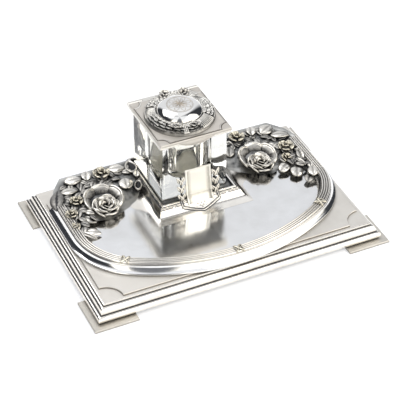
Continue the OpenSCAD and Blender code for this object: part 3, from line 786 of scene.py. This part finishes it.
# (x, y, z, length, width, turn, tilt, other settings of the leaf)
LEAVES = {
    "left": [
        (-84.0, 63.0, LEAF_Z, 15, 10.5, -8, 6, {}),
        (-72.4, 63.8, LEAF_Z + 0.4, 12, 8.5, 78, 0, {"fold": 0.12}),
        (-46.2, 63.4, LEAF_Z, 14, 11, -14, 4, {}),
        (-46.9, 42.6, LEAF_Z + 0.6, 13.5, 12.5, 80, 0, {"blunt": 0.55}),
        (-34.2, 50.5, LEAF_Z, 8, 5.5, 70, 0, {"fold": 0.15}),
        (-91.8, 51.6, LEAF_Z - 0.4, 14, 9.5, -10, -4, {}),
        (-104.0, 45.5, LEAF_Z - 1.0, 25, 12, 68, -10, {"darkening": 0.6, "veins": 0}),
        (-91.6, 2.6, FLOOR + 2.6, 14, 8, -28, 8, {"blunt": 0.6}),
        (-88.0, 17.5, FLOOR + 3.2, 13, 9, -52, 14, {"darkening": 0.3}),
        (-97.0, -3.4, FLOOR + 5.2, 16, 4.2, -54, 10, {"fold": 0.2}),
        (-96.0, 30.6, LEAF_Z - 0.8, 10, 5, 66, 0, {"darkening": 0.2})],
    "right": [
        (75.4, 63.6, LEAF_Z + 0.4, 12, 8.5, 74, 0, {"fold": 0.12}),
        (88.4, 61.2, LEAF_Z, 15, 12, 28, 4, {}),
        (95.4, 49.4, LEAF_Z, 16, 9.5, -22, -4, {}),
        (47.0, 46.6, LEAF_Z - 0.4, 14, 10, 66, 0, {"darkening": 0.4}),
        (98.6, 19.5, LEAF_Z - 0.8, 12, 6.5, 84, -8, {"fold": 0.2}),
        (81.6, 13.2, FLOOR + 4.2, 15, 9.5, 30, 10, {"blunt": 0.5, "veins": 0.3}),
        (88.2, 5.6, FLOOR + 3.8, 15, 11, 64, 6, {"blunt": 0.5, "veins": 0.3}),
        (98.4, -2.6, LEAF_Z - 1.0, 13.5, 9.5, 70, -6, {}),
        (93.4, -6.4, FLOOR + 3.4, 12, 8, 48, 8, {"darkening": 0.35}),
        (94.6, 12.6, LEAF_Z - 1.6, 13, 4, -66, 0, {"fold": 0.25})]}
# (x, y, z, turn, length, width)
CURLED = {
    "left": [(-34.8, 60.4, LEAF_Z + 0.2, 82, 6.2, 4.2), (-38.6, 36.8, LEAF_Z - 0.3, 66, 4.8, 2.6),
             (-105.6, 11.2, LEAF_Z - 2.4, 80, 4.6, 2.6)],
    "right": [(49.4, 52.6, LEAF_Z, 60, 5.4, 3.8), (100.4, 31.4, LEAF_Z - 0.6, 76, 4.6, 2.6)]}


def leaves(side, mirror, seed):
    """The large leaves of one panel, the low ones between them, and the curled ones."""
    shape = Shape()
    for x, y, z, length, width, turn, tilt, extras in LEAVES[side]:
        leaf(shape, place(x, y, z, turn, tilt), length, width, **extras)
    foliage(shape, mirror, ROSE_MIDDLE[side], seed)
    for x, y, z, turn, length, width in CURLED[side]:
        curled(shape, place(x, y, z, turn), length, width)
    return make(shape, "panel_leaves_" + side, RELIEF, "stand", ["leaves_" + side], sharp=80,
                levels=1, thick=0.8)


def foliage(shape, mirror, middle, seed):
    """Small low leaves that fill the ground round the rose and between the large leaves."""
    rnd = Random(seed)
    for x in range(40, 104, 6):
        for y in range(4, 68, 6):
            px, py = mirror * (x + rnd.uniform(-2, 2)), y + rnd.uniform(-2, 2)
            beside = hypot(px - middle[0], py - middle[1]) < 15.5
            past_corner = x + 0.9 * y > 147 or y < 20 + (82 - x) * 0.9 or (x > 96 and y > 52)
            turn, lean = rnd.uniform(0, 360), rnd.uniform(-18, 18)
            # A random amount by which the whole leaf is made darker.
            size, darkening = rnd.uniform(7, 10.5), rnd.uniform(0.15, 0.6)
            if beside or past_corner:
                continue
            leaf(shape, place(px, py, PANEL_HI.z - 1.2, turn, lean), size, size * 0.62, arch=0.16, darkening=darkening)


def curled(shape, at, length, width):
    """A cupped leaf with a bright rolled rim round a hollow painted dark as shade."""
    rows = []
    for grow, height, wear_and_shade in [(0.05, -1.0, 1.0), (0.5, -0.9, 1.0), (0.82, -0.2, 0.9), (0.95, 0.6, 0.1),
                               (1.1, 0.7, 0.0), (1.2, 0.0, 0.1), (1.15, -1.2, 0.6)]:
        points = []
        for a in spread(0, 2 * pi, 20)[:-1]:
            point = 1 + 0.25 * max(0, cos(a)) ** 6
            points.append(at @ Vector((length * grow * cos(a) * point, width * grow * sin(a), height)))
        rows.append(shape.row(points, wear_and_shade))
    shape.skin(rows, around=True)
    shape.faces.append(tuple(rows[0]))


# (x, y, height over the panel, radius, tilt)
BLOSSOMS = {
    "left": [(-60.2, 61, 0.4, 7.2, 0), (-91.2, 37.2, 0, 5.6, 0), (-100.4, 23.6, 0, 5.2, -10),
             (-103.2, 9.2, -1.2, 4.6, -10)],
    "right": [(60.4, 60, 0.4, 7, 0), (92, 32.2, 0.4, 7, 0), (87, 20.4, -1.4, 5.2, 12)]}


def blossoms(side):
    shape = Shape()
    for k, (x, y, rise, radius, tilt) in enumerate(BLOSSOMS[side]):
        small_flower(shape, place(x, y, PANEL_HI.z + rise, 30 * k, tilt), radius, 11 + k)
    return make(shape, "panel_blossoms_" + side, GILT, "stand", ["blossoms_" + side],
                sharp=80, levels=1, thick=0.45)


def laurel(side, mirror):
    """A sprig of three leaf pairs with a bud between each pair, standing against the plaque."""
    shape = Shape()
    for k in range(3):
        z = FRAME_LO.z + 3.4 + 7.4 * k
        y = 5.6 + 0.13 * (z - FRAME_LO.z)
        x = mirror * (14.6 + 0.2 * k)
        for splay in (-1, 1):
            stand = place(x + splay * 1.5, y, z + 2.2) @ Matrix.Rotation(radians(90), 4, "X")
            turned = stand @ Matrix.Rotation(radians(90 - splay * 34), 4, "Z")
            leaf(shape, turned, 7.2, 3.6, arch=0.22, veins=0)
        bud = place(x, y - 0.9, z + 0.4)
        bud = bud @ Matrix.Rotation(radians(90), 4, "X") @ Matrix.Rotation(pi / 2, 4, "Z")
        leaf(shape, bud, 5.4, 3.2, arch=0.3, blunt=0.55, veins=0)
    stem = [(mirror * (14.4 + 0.3 * sin(z)), 6.4 + 0.13 * (z - FRAME_LO.z), z)
            for z in spread(FRAME_LO.z, FRAME_LO.z + 23, 14)]
    shape.tube(stem, (0.7, 0.7), 0.6, up=Vector((0, 1, 0)))
    return make(shape, "sprig_" + side, RELIEF, "stand", ["laurel_" + side], sharp=80,
                levels=1, thick=0.6)


# ---- glass well ----

def glass_well():
    """A square block with chamfered edges and a neck, and a round chamber of stained glass."""
    shape = Shape()
    middle = (0, (GLASS_LO.y + GLASS_HI.y) / 2)
    half_x, half_y = GLASS_HI.x, (GLASS_HI.y - GLASS_LO.y) / 2
    low, high = GLASS_LO.z, GLASS_HI.z
    arcs, sides = 2, 22

    def block(inset):
        return square(half_x - inset, half_y - inset, 2.2, middle, arcs, sides)

    levels = [(block(1.2), low, 0), (block(0.3), low + 0.25, 0), (block(0), low + 1.1, 0),
              (block(0), high - 0.9, 0), (block(0.25), high - 0.2, 0), (block(0.9), high, 0)]
    neck, chamber, bowl = 14.0, 19.0, 10.0
    floor_z, shoulder_z = low + 9, high - 10
    levels += [(ring(neck, middle, arcs, sides), z, 0) for z in (high, shoulder_z + 3)]
    inside = len(levels) - 2
    levels += [(ring(r, middle, arcs, sides), z, 0)
               for r, z in arc((neck, shoulder_z - 2), (chamber - neck, 5), 90, 0, 8)]
    levels += [(ring(r, middle, arcs, sides), z, 0)
               for r, z in arc((chamber - bowl, floor_z + 12), (bowl, 12), 0, -88, 12)]
    levels += [(ring(2, middle, arcs, sides), floor_z, 0)]
    shape.stack(levels)
    piece = make(shape, "glass_block", GLASS, "well", ["glass_well"], sharp=28)
    piece.data.materials.append(RESIDUE)
    around = 4 * (arcs + sides)
    walls = around * (len(levels) - 1)
    for face in piece.data.polygons:
        if inside * around <= face.index < walls or face.index == walls + 1:
            face.material_index = 1
    return piece


# ---- lid ----

def cushion_height(radius):
    inside = max(0.0, 1 - ((radius - 18) / 10.3) ** 2)
    return WREATH_LO.z + (WREATH_HI.z - WREATH_LO.z) * sqrt(inside)


def lid_plate():
    """Skin of the square plate, just proud of it, with a raised field that has hollow corners."""
    shape = Shape()
    back, proud = LID_HI.y - HINGE_DEPTH, 0.06
    middle = (0, (LID_LO.y + back) / 2)
    half_x, half_y = LID_HI.x + proud, (back - LID_LO.y) / 2 + proud
    low, top = LID_HI.z - 2.2, LID_HI.z - 0.1
    arcs, sides = 10, 14

    def edge(inset):
        return square(half_x - inset, half_y - inset, 0.6, middle, arcs, sides)

    def field(inset):
        return square(half_x - 1.7 - inset, half_y - 1.7 - inset, 7.2, middle, arcs, sides, hollow=True)

    hole = ring(17.0, (0, LID_Y), arcs, sides)
    shape.stack([(hole, low, 0.0), (edge(0.4), low, 0.0), (edge(0.05), low + 0.3, 0.3), (edge(0), low + 1, 0),
                 (edge(0.05), top - 0.4, 0), (edge(0.4), top, 0), (field(-1.0), top, 0.1),
                 (field(-0.85), top, 1.0), (field(-0.1), top - 0.16, 1.0), (field(0.15), top + 0.1, 0.9),
                 (field(0.4), top + 0.2, 0), (field(1.0), top + 0.2, 0),
                 (ring(WREATH_HI.x - 1.3, (0, LID_Y), arcs, sides), top + 0.2, 0.0),
                 (hole, top + 0.1, 1.0)], closed=True)
    lip_top, reach = low + 0.6, 16.6
    fronts, backs = [], []
    for s in spread(0, 1, 6):
        points = []
        for t in spread(-1, 1, 24):
            x = reach * t
            drop = 0.3 + 5.1 * (1 - t * t)
            points.append((x, LID_LO.y + 0.1 - 0.8 * sin(pi * s) * (1 - t * t), lip_top - drop * s))
        fronts.append(shape.row(points, 0.1 if s < 1 else 0.0))
    for row in fronts:
        backs.append(shape.row([(x, y + 0.8, z) for x, y, z in (shape.points[i] for i in row)], 0.3))
    for sheet in (fronts, backs, [fronts[-1], backs[-1]]):
        shape.skin(sheet)
    for end in (0, -1):
        shape.skin([[row[end] for row in fronts], [row[end] for row in backs]])
    return make(shape, "lid_top", LID_TOP, "lid", sharp=30)


def wreath_cushion():
    shape = Shape()
    profile = [(17.6, WREATH_LO.z, 1.0), (WREATH_HI.x, WREATH_LO.z, 1.0)]
    profile += [(WREATH_HI.x, WREATH_LO.z + 0.5, 0.3)]
    profile += [(r, cushion_height(r) - 0.3, 0.5) for r in spread(28, 18, 16)]
    profile += [(17.6, WREATH_HI.z - 0.3, 0.8), (17.6, WREATH_LO.z, 0.8)]
    shape.lathe(profile, (0, LID_Y), 144)
    return make(shape, "wreath_base", RELIEF, "lid", ["lid_wreath"], sharp=50)


def on_cushion(angle, radius, lift=0.0):
    """A frame on the wreath's cushion, X pointing round the ring and Z square to the surface."""
    lean = degrees(atan2(cushion_height(radius - 0.3) - cushion_height(radius + 0.3), 0.6))
    x, y = radius * cos(radians(angle)), LID_Y + radius * sin(radians(angle))
    return place(x, y, cushion_height(radius) + lift, angle + 90, -lean)


WREATH_ROSES = (-122, -83, 58, 97)
WREATH_RIBS = ((-106, -100), (-70, -40), (150, 172), (20, 34))


def wreath_relief():
    """Two sprays of small leaves round the cushion, with bound bands of ribs between them."""
    rnd = Random(5)
    shape = Shape()
    for angle in range(-180, 180, 7):
        if any(low - 3 < angle < high + 3 for low, high in WREATH_RIBS):
            continue
        side = 1 if -90 < angle < 90 else -1
        for radius, length in ((19.9, 4.6), (22.3, 5.2), (24.8, 5.2), (26.9, 4.2)):
            spot = on_cushion(angle + rnd.uniform(-3, 3), radius, 0.15 + rnd.uniform(0, 0.3))
            splay = side * rnd.uniform(10, 50) * (1 if radius > 22 else -1)
            leaf(shape, spot @ Matrix.Rotation(radians(splay), 4, "Z"), length, length * 0.62,
                 arch=0.16, veins=0, darkening=rnd.uniform(0, 0.15))
    return make(shape, "wreath_leaves", WREATH, "lid", sharp=80, thick=0.4)


def wreath_ribs():
    shape = Shape()
    for low, high in WREATH_RIBS:
        for angle in spread(low, high, max(2, round((high - low) / 3.6))):
            path = [on_cushion(angle, r, 0.15).translation for r in spread(19.2, 27.6, 8)]
            shape.tube(path, (0.5, 0.45), 0.05, sides=6)
        for radius in (19.6, 27.2):
            path = [on_cushion(a, radius, 0.2).translation for a in spread(low - 2, high + 2, 10)]
            shape.tube(path, (0.5, 0.5), 0.0, sides=6)
    return make(shape, "wreath_bands", WREATH, "lid", sharp=60)


def wreath_roses():
    shape = Shape()
    for k, angle in enumerate(WREATH_ROSES):
        small_flower(shape, on_cushion(angle, 23.2, 0.6), 4.9, 31 + k)
    return make(shape, "wreath_flowers", SILVER, "lid", ["wreath_roses"], sharp=80,
                levels=1, thick=0.35)


def dome_height(radius):
    share = min(1.0, radius / DOME_HI.x)
    return DOME_LO.z + (DOME_HI.z - DOME_LO.z - 0.2) * (1 - share ** 3.0) ** 0.6


def dome():
    shape = Shape()
    edge = DOME_HI.x
    profile = [(0, DOME_LO.z - 0.2, 0.3), (edge - 0.4, DOME_LO.z - 0.2, 0.8), (edge, DOME_LO.z, 0.5)]
    profile += [(edge * sin(a), dome_height(edge * sin(a)), 0.0) for a in spread(pi / 2 * 0.99, 0.06, 40)]
    profile += [(0, dome_height(0), 0.0)]
    shape.lathe(profile, (0, LID_Y), 128)
    return make(shape, "dome_cap", POLISHED, "lid", ["lid_dome"], sharp=50)


def rosette():
    """A plain eight-petalled rosette engraved on the dome."""
    shape = Shape()

    def on_dome(radius, angle):
        return (radius * cos(angle), LID_Y + radius * sin(angle), dome_height(radius) + 0.02)

    for k in range(8):
        for size, width in ((8.6, 0.34), (5.6, 0.2)):
            path = [on_dome(size * sin(pi * t) ** 0.8 + 0.4, k * pi / 4 + width * cos(pi * t))
                    for t in spread(0, 1, 28)]
            shape.tube(path, (0.16, 0.07), sides=6)
    for radius in (9.8, 10.5):
        path = [on_dome(radius, a) for a in spread(0, 2 * pi, 72)[:-1]]
        shape.tube(path, (0.13, 0.06), sides=6, closed=True)
    return make(shape, "dome_rosette", ENGRAVED, "lid", sharp=60)


def dress(names, material):
    """Gives carried-over CAD nodes their material."""
    for name in names:
        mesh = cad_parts[name].data
        mesh.materials.clear()
        mesh.materials.append(material)


plinth()
raised_panel()
plinth_top()
for side, sx in (("left", -1), ("right", 1)):
    foot("foot_front_" + side, sx, -1)
    foot("foot_back_" + side, sx, 1)
tray()
reeds()
ties()
pedestal()
holder()
apron()
plaque()
for side, mirror, seed in (("left", -1, 3), ("right", 1, 8)):
    rose_panel("relief_panel_" + side, mirror)
    rose("open_rose_" + side, mirror, ROSE_MIDDLE[side], seed)
    laurel(side, mirror)
for side, mirror, seed in (("left", -1, 21), ("right", 1, 22)):
    leaves(side, mirror, seed)
for side in ("left", "right"):
    blossoms(side)
glass_well()
lid_plate()
wreath_cushion()
wreath_relief()
wreath_ribs()
wreath_roses()
dome()
rosette()
dress(["mount_plate"], COLLAR)
dress(["lid_plate"], COLLAR)
dress(["lid_liner"], SATIN)
dress(["hinge_pin"], STEEL)
dress(["holder_studs", "holder_washers", "holder_nuts"], BRASS)


# ---- stage ----

def floor():
    mesh = bpy.data.meshes.new("floor")
    mesh.from_pydata([(-5, -5, 0), (5, -5, 0), (5, 5, 0), (-5, 5, 0)], [], [(0, 1, 2, 3)])
    ground = bpy.data.objects.new("floor", mesh)
    bpy.context.scene.collection.objects.link(ground)
    paper = bpy.data.materials.new("paper")
    paper.use_nodes = True
    shader = paper.node_tree.nodes["Principled BSDF"]
    shader.inputs["Base Color"].default_value = (0.80, 0.80, 0.81, 1)
    shader.inputs["Roughness"].default_value = 0.9
    shader.inputs["Specular IOR Level"].default_value = 0.1
    shader.inputs["Emission Color"].default_value = (0.95, 0.97, 1.0, 1)
    shader.inputs["Emission Strength"].default_value = 0.35
    mesh.materials.append(paper)


def ramp(tree, turn, stops):
    """Colours round the room; each stop is (degrees from the front, colour)."""
    made = add(tree, "ShaderNodeValToRGB", [("Fac", turn)])
    elements = made.color_ramp.elements
    for i, (angle, colour) in enumerate(stops):
        at = angle / 360 + 0.5
        element = elements[i] if i < 2 else elements.new(at)
        element.position, element.color = at, (*colour, 1)
    return made.outputs[0]


def studio():
    """A pale room, dark to the left and right up to some height, with a warm front and a grey gap in it."""
    world = bpy.data.worlds.new("studio")
    bpy.context.scene.world = world
    world.use_nodes = True
    tree = world.node_tree
    way = add(tree, "ShaderNodeSeparateXYZ", [(0, add(tree, "ShaderNodeTexCoord").outputs["Generated"])])
    ahead = maths(tree, "MULTIPLY", way.outputs["Y"], -1.0)
    turn = maths(tree, "DIVIDE", maths(tree, "ARCTAN2", way.outputs["X"], ahead), 2 * pi)
    turn = maths(tree, "ADD", turn, 0.5)
    cool, warm = (0.44, 0.45, 0.47), (1.0, 0.97, 0.90)
    grey, dark = (0.10, 0.105, 0.115), (0.02, 0.022, 0.026)
    bands = ramp(tree, turn, [(-180, cool), (-170, cool), (-162, dark), (-68, dark), (-60, warm), (-42, warm),
                              (-36, grey), (-14, grey), (-8, warm), (70, warm), (80, dark), (118, dark),
                              (130, cool), (180, cool)])
    low, mid, high = (0.62,) * 3, (0.70,) * 3, (0.90,) * 3
    start = ramp(tree, turn, [(-180, low), (-170, low), (-160, high), (-128, high), (-116, mid), (-42, mid),
                              (-36, high), (-14, high), (-8, mid), (76, mid), (88, high), (118, high),
                              (130, low), (180, low)])
    above = maths(tree, "SUBTRACT", way.outputs["Z"], start)
    lift = add(tree, "ShaderNodeMapRange", [("Value", above), ("From Min", 0.0), ("From Max", 0.16)])
    background = tree.nodes["Background"]
    tree.links.new(mixed(tree, lift.outputs[0], bands, (0.52, 0.53, 0.55)), background.inputs["Color"])
    background.inputs["Strength"].default_value = 1.9


def softbox(name, place_m, energy, size):
    light = bpy.data.lights.new(name, "AREA")
    light.energy, light.size = energy, size
    lamp = bpy.data.objects.new(name, light)
    lamp.location = place_m
    lamp.rotation_euler = (-Vector(place_m)).to_track_quat("-Z", "Y").to_euler()
    bpy.context.scene.collection.objects.link(lamp)


def camera():
    """The view from the front left and above, with a long lens."""
    azimuth, elevation, tilt = radians(-26.03), radians(39.11), radians(1.08)
    target, distance = Vector((-45.69, -90.61, 106.05)) * MM, 1.05628
    back = Vector((sin(azimuth) * cos(elevation), -cos(azimuth) * cos(elevation), sin(elevation)))
    right = (-back).cross(Vector((0, 0, 1))).normalized()
    up = back.cross(right)
    side = right * cos(tilt) + up * sin(tilt)
    top = up * cos(tilt) - right * sin(tilt)
    lens = bpy.data.cameras.new("camera")
    lens.sensor_width, lens.lens = 36, 135.46
    lens.clip_start, lens.clip_end = 0.05, 50
    view = bpy.data.objects.new("camera", lens)
    spot = target + back * distance
    view.matrix_world = Matrix((
        (side.x, top.x, back.x, spot.x), (side.y, top.y, back.y, spot.y),
        (side.z, top.z, back.z, spot.z), (0, 0, 0, 1)))
    bpy.context.scene.collection.objects.link(view)
    bpy.context.scene.camera = view


floor()
studio()
softbox("key", (-0.5, 0.7, 1.4), 9, 1.0)
softbox("fill", (0.9, -0.5, 1.3), 5, 1.2)
camera()
bpy.context.scene.view_settings.view_transform = "Standard"
